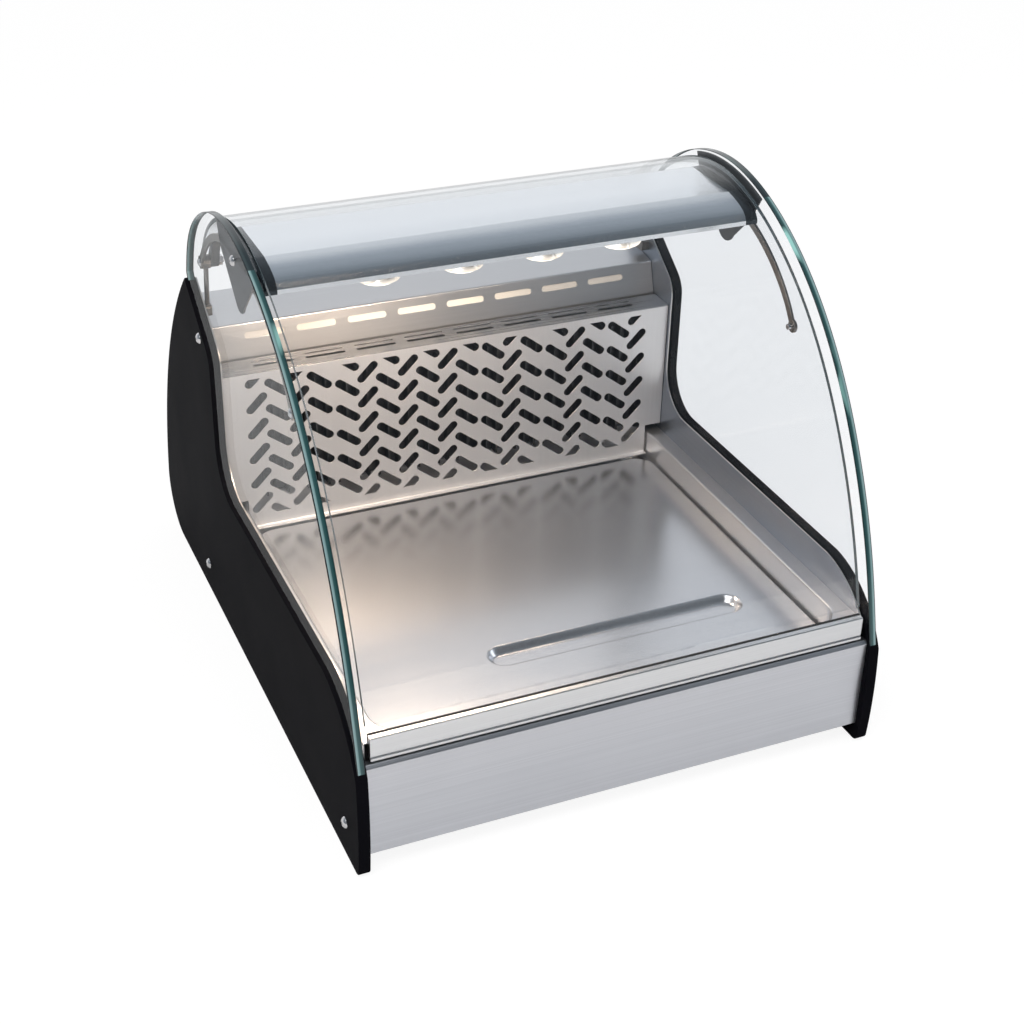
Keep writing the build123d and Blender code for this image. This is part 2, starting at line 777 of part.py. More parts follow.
# slanted rear panel with vent slots, and openings for the controls in its foot
rear_low = 17
control_z = 52
switch_x = 150
knob_x = 60
gland_x = -200
gland_z = 44
switch_l = 30
switch_h = 20
knob_shaft_r = 4
gland_bore_r = 4
rear_screw_x = 256
rear_screw_z = 27
rear_shank_r = 1.6
back_face = Plane(origin=(0, front + rear_y, 0), x_dir=(-1, 0, 0), z_dir=(0, 1, 0))
with BuildPart() as rear:
    with BuildSketch(side(-liner_inner)):
        with BuildLine():
            rear_fold = FilletPolyline(
                (housing_back_y + 0.5, housing_back_z - 3.5),
                (rear_y, rear_bend_z),
                (rear_y, rear_low),
                (rear_y - 14, rear_low),
                radius=3,
            )
            offset(rear_fold, amount=sheet, side=Side.RIGHT)
        make_face()
    extrude(amount=2 * liner_inner)
    slope = (housing_back_z - 3.5 - rear_bend_z, rear_y - housing_back_y - 0.5)
    vent_face = Plane(
        origin=(0, front + (housing_back_y + rear_y) / 2, (housing_back_z + rear_bend_z) / 2),
        x_dir=(-1, 0, 0),
        z_dir=(0, slope[0], slope[1]),
    )
    with BuildSketch(vent_face):
        with GridLocations(250, 12, 2, 9):
            with Locations((0, -30)):
                SlotOverall(180, 5)
    extrude(amount=8, both=True, mode=Mode.SUBTRACT)
    with BuildSketch(back_face):
        with Locations((switch_x, control_z)):
            Rectangle(switch_l, switch_h)
        with Locations((knob_x, control_z)):
            Circle(knob_shaft_r + turn_gap)
        with Locations((gland_x, gland_z)):
            Circle(gland_bore_r)
        with Locations((-rear_screw_x, rear_screw_z), (0, rear_screw_z), (rear_screw_x, rear_screw_z)):
            Circle(rear_shank_r)
    extrude(amount=-2 * sheet, mode=Mode.SUBTRACT)
save(rear, "rear_panel")

# rear controls: rocker switch, thermostat knob and cable gland
with BuildPart() as switch_frame:
    with BuildSketch(back_face):
        with Locations((switch_x, control_z)):
            RectangleRounded(switch_l + 6, switch_h + 6, 3)
            Rectangle(switch_l - 5, switch_h - 5, mode=Mode.SUBTRACT)
    extrude(amount=3)
    with BuildSketch(back_face):
        with Locations((switch_x, control_z)):
            Rectangle(switch_l, switch_h)
            Rectangle(switch_l - 5, switch_h - 5, mode=Mode.SUBTRACT)
    extrude(amount=-15)
save(switch_frame, "switch_frame")

# rocker of the switch, at rest tilted to one side
rocker_y = rear_y - 6
rocker_half = 12
rocker_plane = Plane(
    origin=(-switch_x - rocker_half, front + rocker_y, control_z),
    x_dir=(0, 1, 0),
    z_dir=(1, 0, 0),
).rotated((6, 0, 0))
with BuildPart() as rocker:
    with BuildSketch(rocker_plane):
        with BuildLine():
            Polyline((-3, -4.6), (10, -6), (8.4, 0), (10, 6), (-3, 4.6), (-3, -4.6))
        make_face()
    extrude(amount=2 * rocker_half)
save(rocker, "power_rocker")

with BuildPart() as dial:
    with BuildSketch(back_face):
        with Locations((knob_x, control_z)):
            Circle(23)
            Circle(knob_shaft_r + turn_gap, mode=Mode.SUBTRACT)
    extrude(amount=1.5)
    chamfer(dial.edges().group_by(Axis.Y)[-1], 0.5)
save(dial, "thermostat_dial")

with BuildPart() as knob:
    with BuildSketch(back_face.offset(1.5 + turn_gap)):
        with Locations((knob_x, control_z)):
            Circle(17)
    extrude(amount=13, taper=5)
    fillet(knob.edges().group_by(Axis.Y)[-1], 1.2)
    with BuildSketch(back_face.offset(6)):
        with Locations((knob_x, control_z)):
            with PolarLocations(17.6, 20):
                Circle(1.6)
    extrude(amount=12, mode=Mode.SUBTRACT)
    with BuildSketch(back_face.offset(13.6)):
        with Locations((knob_x, control_z + 9)):
            Rectangle(2, 9)
    extrude(amount=2, mode=Mode.SUBTRACT)
    with BuildSketch(back_face.offset(1.5 + turn_gap)):
        with Locations((knob_x, control_z)):
            Circle(knob_shaft_r)
    extrude(amount=-16)
save(knob, "thermostat_knob")

with BuildPart() as gland:
    with BuildSketch(back_face):
        with Locations((gland_x, gland_z)):
            RegularPolygon(12, 6)
    extrude(amount=5)
    with BuildSketch(back_face.offset(5)):
        with Locations((gland_x, gland_z)):
            Circle(9)
    extrude(amount=8)
    fillet(gland.edges().group_by(Axis.Y)[-1], 2)
    with BuildSketch(back_face.offset(13)):
        with Locations((gland_x, gland_z)):
            Circle(gland_bore_r)
    extrude(amount=-13, mode=Mode.SUBTRACT)
save(gland, "cable_gland")

# screws along the edges of the rear panel
rear_screw = dome_screw(4, 2.2, rear_shank_r, 6)
facing_back = Rot(-90, 0, 0)
with BuildPart() as rear_screws:
    for x in (-rear_screw_x, 0, rear_screw_x):
        add(spot(x, rear_y, rear_screw_z) * facing_back * rear_screw)
save(rear_screws, "rear_screws")

# sealed compressor on the tray behind the fan plate
compressor_y = 614
compressor_x = -150
with BuildPart() as compressor:
    shell_plane = Plane(
        origin=(compressor_x, front + compressor_y, tray_z + sheet),
        x_dir=(1, 0, 0),
        z_dir=(0, -1, 0),
    )
    with BuildSketch(shell_plane):
        with BuildLine():
            Polyline((0, 8), (46, 8), (46, 60))
            ThreePointArc((46, 60), (45, 96), (26, 112))
            Polyline((26, 112), (0, 114), (0, 8))
        make_face()
    revolve(axis=Axis((compressor_x, front + compressor_y, 0), (0, 0, 1)))
    with BuildSketch(Plane.XY.offset(tray_z + sheet)):
        with Locations((compressor_x, front + compressor_y)):
            with GridLocations(78, 78, 2, 2):
                Circle(7)
    extrude(amount=8)
    with BuildSketch(Plane.XY.offset(tray_z + sheet + 8)):
        with Locations((compressor_x, front + compressor_y)):
            RectangleRounded(98, 98, 10)
    extrude(amount=3)
save(compressor, "compressor")

# condenser block beside the compressor, behind the vent slots
condenser_x = 110
condenser_y0 = 600
condenser_t = 36
condenser_half = 116
with BuildPart() as condenser:
    with BuildSketch(Plane.XY.offset(tray_z + sheet)):
        with Locations((condenser_x, front + condenser_y0 + condenser_t / 2)):
            Rectangle(2 * condenser_half, condenser_t - 12)
            with GridLocations(10, 0, 24, 1):
                Rectangle(2, condenser_t)
            with GridLocations(2 * condenser_half, 0, 2, 1):
                Rectangle(4, condenser_t + 6)
    extrude(amount=120)
    with BuildSketch(Plane.YZ.offset(condenser_x - condenser_half - 8)):
        with Locations((front + condenser_y0 + condenser_t / 2, tray_z + 62)):
            with GridLocations(14, 26, 2, 4):
                Circle(4)
    extrude(amount=2 * condenser_half + 16)
save(condenser, "condenser")
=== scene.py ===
import math

import bmesh
import bpy
import numpy as np
from mathutils import Matrix, Vector


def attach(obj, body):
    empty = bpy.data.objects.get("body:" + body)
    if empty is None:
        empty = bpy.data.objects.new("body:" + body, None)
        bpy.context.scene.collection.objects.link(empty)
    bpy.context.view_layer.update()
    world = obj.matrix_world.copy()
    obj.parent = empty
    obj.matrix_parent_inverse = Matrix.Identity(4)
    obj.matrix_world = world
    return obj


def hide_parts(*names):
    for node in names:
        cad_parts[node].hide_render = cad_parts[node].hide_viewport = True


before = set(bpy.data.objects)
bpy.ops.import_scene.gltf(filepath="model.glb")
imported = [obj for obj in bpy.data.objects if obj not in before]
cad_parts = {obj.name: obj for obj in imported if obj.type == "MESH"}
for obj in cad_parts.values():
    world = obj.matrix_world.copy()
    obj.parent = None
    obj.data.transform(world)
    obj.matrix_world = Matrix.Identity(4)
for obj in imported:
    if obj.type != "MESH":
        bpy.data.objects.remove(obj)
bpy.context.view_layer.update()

# Side panels. Two 12 mm boards stand at the sides and carry everything else. They are black, satin
# lacquered, with a rounded step down to a low arm at the front. Depths count from the front and heights
# from a datum, in millimetres, and the boards reach down to the counter, 3 mm below the datum.
FRONT = -359.0
DATUM = 3.0
HALF_WIDTH = 280.0
PANEL_T = 12.0
PANEL_EDGE = 0.9


def arc(a, b, c, count=14):
    (ax, ay), (bx, by), (cx, cy) = a, b, c
    d = 2 * (ax * (by - cy) + bx * (cy - ay) + cx * (ay - by))
    aa, bb, cc = ax * ax + ay * ay, bx * bx + by * by, cx * cx + cy * cy
    mx = (aa * (by - cy) + bb * (cy - ay) + cc * (ay - by)) / d
    my = (aa * (cx - bx) + bb * (ax - cx) + cc * (bx - ax)) / d
    r = math.hypot(ax - mx, ay - my)
    start = math.atan2(ay - my, ax - mx)
    sweep = (math.atan2(cy - my, cx - mx) - start) % math.tau
    if (math.atan2(by - my, bx - mx) - start) % math.tau > sweep:
        sweep -= math.tau
    turns = [start + sweep * i / count for i in range(count + 1)]
    return [(mx + r * math.cos(t), my + r * math.sin(t)) for t in turns]


def rounded(corners, count=6):
    points = []
    for i, (y, z, r) in enumerate(corners):
        if r == 0:
            points.append((y, z))
            continue
        here = np.array((y, z))
        back = np.array(corners[i - 1][:2]) - here
        ahead = np.array(corners[i + 1][:2]) - here
        back = back / np.linalg.norm(back)
        ahead = ahead / np.linalg.norm(ahead)
        half = math.acos(np.clip(back @ ahead, -1, 1)) / 2
        reach = r / math.tan(half)
        middle = back + ahead
        centre = here + middle / np.linalg.norm(middle) * r / math.sin(half)
        near = centre + (here - centre) / np.linalg.norm(here - centre) * r
        points += arc(tuple(here + back * reach), tuple(near), tuple(here + ahead * reach), count)
    return points


def cut(name, outer, holes, low, high, edge, place):
    line = bpy.data.curves.new(name, "CURVE")
    line.dimensions = "2D"
    line.fill_mode = "BOTH"
    line.extrude = (high - low) / 2 - edge
    line.bevel_depth = edge
    line.bevel_resolution = 2
    line.offset = -edge
    for loop in [outer, *holes]:
        run = line.splines.new("POLY")
        run.points.add(len(loop) - 1)
        for point, (u, v) in zip(run.points, loop):
            point.co = (u, v, 0, 1)
        run.use_cyclic_u = True
    blank = bpy.data.objects.new(name, line)
    bpy.context.scene.collection.objects.link(blank)
    mesh = bpy.data.meshes.new_from_object(blank)
    bpy.data.objects.remove(blank)
    bm = bmesh.new()
    bm.from_mesh(mesh)
    bmesh.ops.remove_doubles(bm, verts=bm.verts, dist=0.002)
    for v in bm.verts:
        v.co = Vector(place(v.co.x, v.co.y, v.co.z + (low + high) / 2)) / 1000
    return settle(name, bm)


def settle(name, bm, sharp=32):
    bmesh.ops.recalc_face_normals(bm, faces=bm.faces)
    mesh = bpy.data.meshes.new(name)
    bm.to_mesh(mesh)
    bm.free()
    mesh.shade_smooth()
    mesh.set_sharp_from_angle(angle=math.radians(sharp))
    piece = bpy.data.objects.new(name, mesh)
    bpy.context.scene.collection.objects.link(piece)
    return piece


def side_on(u, v, w):
    return (w, FRONT + u, DATUM + v)


class Number:
    def __init__(self, finish, socket):
        self.finish = finish
        self.socket = socket

    def __add__(self, other):
        return self.finish.maths("ADD", self, other)

    def __radd__(self, other):
        return self.finish.maths("ADD", other, self)

    def __sub__(self, other):
        return self.finish.maths("SUBTRACT", self, other)

    def __rsub__(self, other):
        return self.finish.maths("SUBTRACT", other, self)

    def __mul__(self, other):
        return self.finish.maths("MULTIPLY", self, other)

    def __rmul__(self, other):
        return self.finish.maths("MULTIPLY", other, self)

    def __pow__(self, other):
        return self.finish.maths("POWER", self, other)


class Finish:
    def __init__(self, name, tree=None):
        if tree is None:
            self.material = bpy.data.materials.new(name)
            self.material.use_nodes = True
            tree = self.material.node_tree
        self.tree = tree
        self.tree.nodes.clear()

    def node(self, kind, settings=None, inputs=None, out=0):
        made = self.tree.nodes.new(kind)
        for key, value in (settings or {}).items():
            if key == "stops":
                ramp = made.color_ramp.elements
                while len(ramp) < len(value):
                    ramp.new(0.5)
                for stop, (place, colour) in zip(ramp, value):
                    stop.position = place
                    stop.color = (*colour, 1)
            else:
                setattr(made, key, value)
        for key, value in (inputs or {}).items():
            socket = made.inputs[key]
            if isinstance(value, Number):
                self.tree.links.new(value.socket, socket)
            elif socket.type == "RGBA" and len(value) == 3:
                socket.default_value = (*value, 1)
            else:
                socket.default_value = value
        return Number(self, made.outputs[out]) if made.outputs else None

    def maths(self, operation, first, second):
        return self.node("ShaderNodeMath", {"operation": operation}, {0: first, 1: second})

    def spread(self, scale, stretch=(1, 1, 1), detail=3.0):
        where = self.node("ShaderNodeTexCoord", out="Object")
        held = self.node("ShaderNodeMapping", None, {"Vector": where, "Scale": stretch})
        return self.node("ShaderNodeTexNoise", None, {"Vector": held, "Scale": scale, "Detail": detail})

    def between(self, share, low, high):
        sockets = {"Factor": share, 6: low, 7: high}
        return self.node("ShaderNodeMix", {"data_type": "RGBA"}, sockets, out=2)

    def place(self, axis):
        where = self.node("ShaderNodeTexCoord", out="Object")
        return self.node("ShaderNodeSeparateXYZ", None, {"Vector": where}, out=axis)

    def climb(self, value, start, end):
        sockets = {"Value": value, 1: start, 2: end, 3: 0.0, 4: 1.0}
        return self.node("ShaderNodeMapRange", {"clamp": True}, sockets)

    def relief(self, height, strength, distance):
        sockets = {"Height": height, "Strength": strength, "Distance": distance}
        return self.node("ShaderNodeBump", None, sockets)

    def close(self, **sockets):
        plugs = {key.replace("_", " "): value for key, value in sockets.items()}
        skin = self.node("ShaderNodeBsdfPrincipled", None, plugs)
        self.node("ShaderNodeOutputMaterial", None, {"Surface": skin})
        return self.material


def fit(piece, materials, body, node):
    for material in materials:
        piece.data.materials.append(material)
    flat = piece.modifiers.new("flat_faces", "WEIGHTED_NORMAL")
    flat.keep_sharp = True
    flat.weight = 100
    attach(piece, body)
    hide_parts(node)


black = Finish("black_lacquer")
mottle = black.spread(900, detail=4)
rub = black.spread(14)
black_lacquer = black.close(
    Base_Color=black.between(rub, (0.0035, 0.0035, 0.0050), (0.0060, 0.0060, 0.0080)),
    Roughness=0.34 + mottle * 0.06 + rub * 0.10,
    Specular_IOR_Level=0.004,
    Normal=black.relief(mottle, 0.06, 0.0002),
)

panel_line = [(10, -DATUM), *arc((660, -DATUM), (702, 14), (718, 60))]
panel_line += arc((718, 60), (650, 256), (540, 388), 26)[1:-1]
panel_line += rounded([(600, 328, 0), (540, 388, 2), (455, 330, 30), (455, 228, 0)])[1:-1]
panel_line += [(455, 228)] + arc((455, 228), (440.36, 192.64), (405, 178))[1:]
panel_line += arc((95, 178), (38, 156), (3, 112))
panel_line += arc((3, 112), (0, 60), (2, 5))[1:]
panel_line += arc((2, 5), (4.34, -0.66), (10, -DATUM))[1:-1]
for side, x in (("left", -HALF_WIDTH), ("right", HALF_WIDTH - PANEL_T)):
    board = cut("board_" + side, panel_line, [], x, x + PANEL_T, PANEL_EDGE, side_on)
    fit(board, [black_lacquer], "cabinet", "side_panel_" + side)

# Steel liners. A 1.5 mm stainless sheet covers the inner face of each panel, one millimetre short of its
# edge. Its face is brushed dark. Its cut edge is painted a light colour, partly bare metal and partly a
# painted highlight, so that it shows as a thin bright line.


def brushed(
    name,
    dark,
    light,
    rough,
    spread=0.10,
    grain=(3, 420, 420),
    relief=0.05,
    metal=1.0,
    edge=None,
    ends=None,
):
    steel = Finish(name)
    streak = steel.spread(1.0, grain, 6)
    smudge = steel.spread(7.0, detail=2)
    colour = steel.between(streak * 0.7 + smudge * 0.3, dark, light)
    # Faces that don't face along X, such as a cut edge, take the edge colour: bare metal with a painted
    # highlight.
    if edge:
        facing = steel.node("ShaderNodeTexCoord", out="Normal")
        sideways = steel.node("ShaderNodeSeparateXYZ", None, {"Vector": facing}, out="X")
        colour = steel.between(sideways * sideways, edge, colour)
    if ends:
        start, paint = ends
        reach = steel.maths("ABSOLUTE", steel.place("X"), 0.0)
        colour = steel.between(steel.maths("GREATER_THAN", reach, start), colour, paint)
    return steel.close(
        Base_Color=colour,
        Roughness=rough + (streak - 0.5) * spread + (smudge - 0.5) * 0.08,
        Normal=steel.relief(streak, relief, 0.0003),
        Metallic=metal,
    )


def dress(node, material):
    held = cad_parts[node].data.materials
    held.clear()
    held.append(material)


# Light colour for the liner's cut edge: bare metal with a painted highlight.
CUT_EDGE_HIGHLIGHT = (0.80, 0.78, 0.76)
liner_steel = brushed(
    "liner_steel", (0.24, 0.27, 0.32), (0.34, 0.375, 0.43), 0.36, grain=(300, 3, 300), edge=CUT_EDGE_HIGHLIGHT
)
for side in ("left", "right"):
    dress("side_liner_" + side, liner_steel)

# Side glass. Two 8 mm toughened panes stand in a slot of the panels and follow the bend of the front
# glass. Their edges are ground and polished, with the teal tint of the glass. Across the thickness they
# carry painted dark lines at both faces and a painted light strip, along them run painted aqua highlights,
# and where the bracket stands behind the edge its dark is painted onto the edge.
GLASS_T = 8.0
GLASS_OUTER = HALF_WIDTH - 2.5
GLASS_EDGE = 0.7


def through(points, count):
    p = np.array(points, float)
    t = np.concatenate([[0], np.cumsum(np.hypot(*np.diff(p, axis=0).T))])
    h = np.diff(t)
    n = len(p)
    left, right = np.eye(n), np.zeros((n, 2))
    for i in range(1, n - 1):
        left[i, i - 1 : i + 2] = h[i - 1], 2 * (h[i - 1] + h[i]), h[i]
        right[i] = 6 * ((p[i + 1] - p[i]) / h[i] - (p[i] - p[i - 1]) / h[i - 1])
    m = np.linalg.solve(left, right)
    s = np.linspace(0, t[-1], count)
    k = np.clip(np.searchsorted(t, s, side="right") - 1, 0, n - 2)
    a, b, hk = (t[k + 1] - s)[:, None], (s - t[k])[:, None], h[k][:, None]
    line = (m[k] * a**3 + m[k + 1] * b**3) / (6 * hk)
    line = line + (p[k] / hk - m[k] * hk / 6) * a + (p[k + 1] / hk - m[k + 1] * hk / 6) * b
    return line


def beside(line, distance):
    run = np.gradient(line, axis=0)
    run = run / np.linalg.norm(run, axis=1)[:, None]
    return line + np.stack([run[:, 1], -run[:, 0]], 1) * distance


def thin_glass(name, tint, mirror, rim):
    glass = Finish(name)
    graze = glass.node("ShaderNodeLayerWeight", None, {"Blend": 0.5}, out="Facing")
    smear = glass.spread(5, detail=3)
    share = (graze**5) * rim + mirror * (0.9 + smear * 0.2)
    air = glass.node("ShaderNodeBsdfTransparent", None, {"Color": tint})
    shine = glass.node(
        "ShaderNodeBsdfPrincipled",
        None,
        {"Base Color": (0.95, 0.97, 0.97), "Metallic": 1.0, "Roughness": 0.015 + smear * 0.02},
    )
    both = glass.node("ShaderNodeMixShader", None, {0: share, 1: air, 2: shine})
    glass.node("ShaderNodeOutputMaterial", None, {"Surface": both})
    return glass.material


def glass_edge(name, low, high, across, streak, painted_bracket_behind=None):
    edge = Finish(name)
    # Colour across the edge's thickness from a ramp: the glass tint with painted dark lines and painted
    # light bands.
    depth = (edge.maths("ABSOLUTE", edge.place("X"), 0.0) - low) * (1 / (high - low))
    body = edge.node("ShaderNodeValToRGB", {"stops": across}, {"Fac": depth})
    run = edge.spread(1.0, (30, 11, 11), 2)
    # Painted highlight: bright streaks run along the edge, towards its inner face.
    painted_glint = edge.climb(run, 0.56, 0.68) * edge.climb(depth, 0.62, 0.40)
    colour = edge.between(painted_glint * 0.9, body, streak)
    # Painted view of the dark bracket where it stands behind the edge.
    if painted_bracket_behind:
        front, rear, height, paint = painted_bracket_behind
        y, z = edge.place("Y"), edge.place("Z")
        behind = edge.maths("GREATER_THAN", y, front) * edge.maths("LESS_THAN", y, rear)
        colour = edge.between(behind * edge.maths("GREATER_THAN", z, height) * 0.9, colour, paint)
    return edge.close(
        Base_Color=colour,
        Roughness=0.08 + run * 0.10,
        IOR=1.52,
    )


TEAL = (0.030, 0.085, 0.088)
# Near-black for the painted dark lines along the glass edges.
PAINTED_DARK_LINE = (0.004, 0.010, 0.012)
side_glass = thin_glass("side_glass", (0.958, 0.965, 0.973), 0.014, 0.28)
# Aqua for the painted highlights along the glass edges.
PAINTED_AQUA_GLINT = (0.34, 0.66, 0.62)
# Side edges: painted dark lines at both faces, the teal tint, a painted light strip towards the outer face,
# painted aqua highlights, and the painted dark of the bracket behind.
side_edge = glass_edge(
    "side_glass_edge",
    (GLASS_OUTER - GLASS_T) / 1000,
    GLASS_OUTER / 1000,
    [
        (0.0, PAINTED_DARK_LINE),
        (0.10, (0.012, 0.040, 0.043)),
        (0.50, TEAL),
        (0.62, (0.16, 0.27, 0.28)),
        (0.82, (0.26, 0.38, 0.39)),
        (0.90, PAINTED_DARK_LINE),
        (1.0, PAINTED_DARK_LINE),
    ],
    PAINTED_AQUA_GLINT,
    painted_bracket_behind=(-0.073, 0.071, 0.4, (0.012, 0.018, 0.022)),
)
arch = [(4, 112), (30, 200), (74, 298), (142, 395), (242, 475), (366, 511), (470, 483), (526, 430)]
arch += [(540, 395)]
glass_top = through(arch, 121)
pane_line = [tuple(p) for p in glass_top] + [(531, 371), (463, 326), (463, 228)]
pane_line += arc((463, 228), (446, 187), (405, 170))[1:] + [(95, 170), (56, 146)]
for side, x in (("left", -GLASS_OUTER), ("right", GLASS_OUTER - GLASS_T)):
    pane = cut("pane_" + side, pane_line, [], x, x + GLASS_T, GLASS_EDGE, side_on)
    fit(pane, [side_glass, side_edge], "cabinet", "side_glass_" + side)
    for face in pane.data.polygons:
        face.material_index = 0 if abs(face.normal.x) > 0.98 else 1

# Front glass. One bent 5 mm pane runs from the ledge over the top to the rear hinges. It is a little
# inside the side glass. Its thin polished edges are painted light grey-blue, turning dark near the pane's
# ends, with painted bright highlights along them.
HOOD_SINK = 6.0
HOOD_T = 5.0
HOOD_HALF = 263.0
HOOD_FOOT = 149.5
glass_line = glass_top[4:-5]
front_out = beside(glass_line, HOOD_SINK)
front_in = beside(glass_line, HOOD_SINK + HOOD_T)
front_out = front_out[front_out[:, 1] > HOOD_FOOT]
front_in = front_in[front_in[:, 1] > HOOD_FOOT]
hood_line = [tuple(p) for p in front_out] + [tuple(p) for p in front_in[::-1]]
front_glass = thin_glass("front_glass", (0.962, 0.968, 0.975), 0.030, 0.85)
# Painted highlight and shade on the bent glass's edges: light to dark towards the ends, with bright painted
# streaks.
front_edge = glass_edge(
    "front_glass_edge",
    (HOOD_HALF - 1) / 1000,
    (HOOD_HALF + 0.2) / 1000,
    [(0.0, (0.40, 0.46, 0.48)), (0.5, (0.16, 0.20, 0.22)), (1.0, (0.035, 0.05, 0.06))],
    (0.85, 0.92, 0.92),
)
hood = cut("bent_glass", hood_line, [], -HOOD_HALF, HOOD_HALF, 0.6, side_on)
fit(hood, [front_glass, front_edge], "glass_hood", "front_glass")
for face in hood.data.polygons:
    low = face.center.z < (DATUM + HOOD_FOOT + 2) / 1000
    face.material_index = 1 if abs(face.normal.x) > 0.3 or (low and abs(face.normal.z) > 0.6) else 0

# Clamps. Small slate grey blocks hold the rear edge of the bent glass on the hinge bolts. The packed
# blocks stay, in a fine powder coat.


def powder(name, dark, light, rough):
    coat = Finish(name)
    orange_peel = coat.spread(700, detail=2)
    cloud = coat.spread(18)
    return coat.close(
        Base_Color=coat.between(cloud, dark, light),
        Roughness=rough + orange_peel * 0.08,
        Normal=coat.relief(orange_peel, 0.12, 0.0003),
    )


slate = powder("slate_coat", (0.050, 0.056, 0.062), (0.070, 0.077, 0.085), 0.34)
dress("glass_clamps", slate)

# Front panel. A stainless sheet, folded round at the top and returned at the bottom, brushed along its
# length. It hangs on the front of the base tray between the two panels.
SHEET_T = 1.2


def folded(name, outer, holes, corners, thick, edge=0.25, bend=6):
    path = np.array(rounded(corners, bend))
    step = np.diff(path, axis=0)
    length = np.concatenate([[0], np.cumsum(np.hypot(*step.T))])
    tilt = np.stack([step[:, 1], -step[:, 0]], 1) / np.hypot(*step.T)[:, None]
    tilt = np.concatenate([tilt[:1], (tilt[1:] + tilt[:-1]) / 2, tilt[-1:]])
    tilt = tilt / np.linalg.norm(tilt, axis=1)[:, None]
    total = length[-1]
    sheet = cut(name, outer(total), holes, 0, thick, edge, lambda u, v, w: (u, v, w))
    bm = bmesh.new()
    bm.from_mesh(sheet.data)
    old = sheet.data
    bpy.data.objects.remove(sheet)
    bpy.data.meshes.remove(old)
    for s in length[1:-1]:
        everything = bm.verts[:] + bm.edges[:] + bm.faces[:]
        bmesh.ops.bisect_plane(bm, geom=everything, plane_co=(0, s / 1000, 0), plane_no=(0, 1, 0))
    for v in bm.verts:
        s = np.clip(v.co.y * 1000, 0, total)
        k = int(np.clip(np.searchsorted(length, s, side="right") - 1, 0, len(step) - 1))
        share = (s - length[k]) / (length[k + 1] - length[k])
        base = path[k] * (1 - share) + path[k + 1] * share
        out = tilt[k] * (1 - share) + tilt[k + 1] * share
        out = out / np.linalg.norm(out)
        spot = base + out * v.co.z * 1000
        v.co = (v.co.x, (FRONT + spot[0]) / 1000, (DATUM + spot[1]) / 1000)
    return settle(name, bm)


def full_width(half):
    return lambda total: [(-half, 0), (half, 0), (half, total), (-half, total)]


front_steel = brushed(
    "front_steel", (0.46, 0.47, 0.505), (0.68, 0.69, 0.725), 0.34, 0.16, (2, 700, 900), 0.08
)
apron = folded(
    "front_apron",
    full_width(HALF_WIDTH - PANEL_T),
    [],
    [(24, 17, 0), (8, 17, 1.6), (8, 118, 2.4), (11, 121, 2.4), (18, 121, 0)],
    SHEET_T,
)
fit(apron, [front_steel], "cabinet", "front_panel")

# Ledge. A bright angle across the front carries the bent glass. A thin groove runs along its foot, and a
# dark seam shows between it and the front panel.
LEDGE_HALF = 262.0
ledge_steel = brushed("ledge_steel", (0.58, 0.59, 0.61), (0.76, 0.77, 0.78), 0.30, 0.12, (2, 600, 600))
ledge_line = [(19, 123), (12, 123), (12, 125.6), (13.8, 125.9), (13.8, 127.1), (13, 127.4), (13, 147.2)]
ledge_line += [(13.8, 148), (19, 148)]
ledge = cut("front_ledge", ledge_line, [], -LEDGE_HALF, LEDGE_HALF, 0.15, side_on)
fit(ledge, [ledge_steel], "cabinet", "glass_ledge")

# Seal. A dark soft strip lies behind the ledge, under the edge of the bent glass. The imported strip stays,
# in black rubber with fine pores.
strip = Finish("seal_rubber")
pores = strip.spread(500, detail=3)
seal_rubber = strip.close(
    Base_Color=strip.between(pores, (0.012, 0.012, 0.013), (0.03, 0.03, 0.032)),
    Roughness=0.6 + pores * 0.2,
    Normal=strip.relief(pores, 0.2, 0.0004),
)
dress("ledge_seal", seal_rubber)

# Well. A pressed stainless tray with round corners and a flange all round, which lies on the walls of the
# base tray. The press leaves a soft radius at the rim and at the foot of its walls.


def box_ring(cx, cy, lx, ly, r, count=10):
    ring = []
    for sx, sy, turn in ((1, 1, 0), (-1, 1, 90), (-1, -1, 180), (1, -1, 270)):
        for i in range(count + 1):
            t = math.radians(turn + 90 * i / count)
            x, y = cx + sx * (lx / 2 - r), cy + sy * (ly / 2 - r)
            ring.append((x + r * math.cos(t), y + r * math.sin(t)))
    return ring


def ringed(bm, rings):
    rows = []
    for ring in rings:
        rows.append([bm.verts.new(Vector((x, FRONT + y, DATUM + z)) / 1000) for x, y, z in ring])
    for low, high in zip(rows, rows[1:]):
        n = len(low)
        for i in range(n):
            bm.faces.new((low[i], low[(i + 1) % n], high[(i + 1) % n], high[i]))
    bm.faces.new(rows[-1])


def thicken(piece, amount):
    skin = piece.modifiers.new("thickness", "SOLIDIFY")
    skin.thickness = amount
    skin.offset = -1
    skin.use_even_offset = True


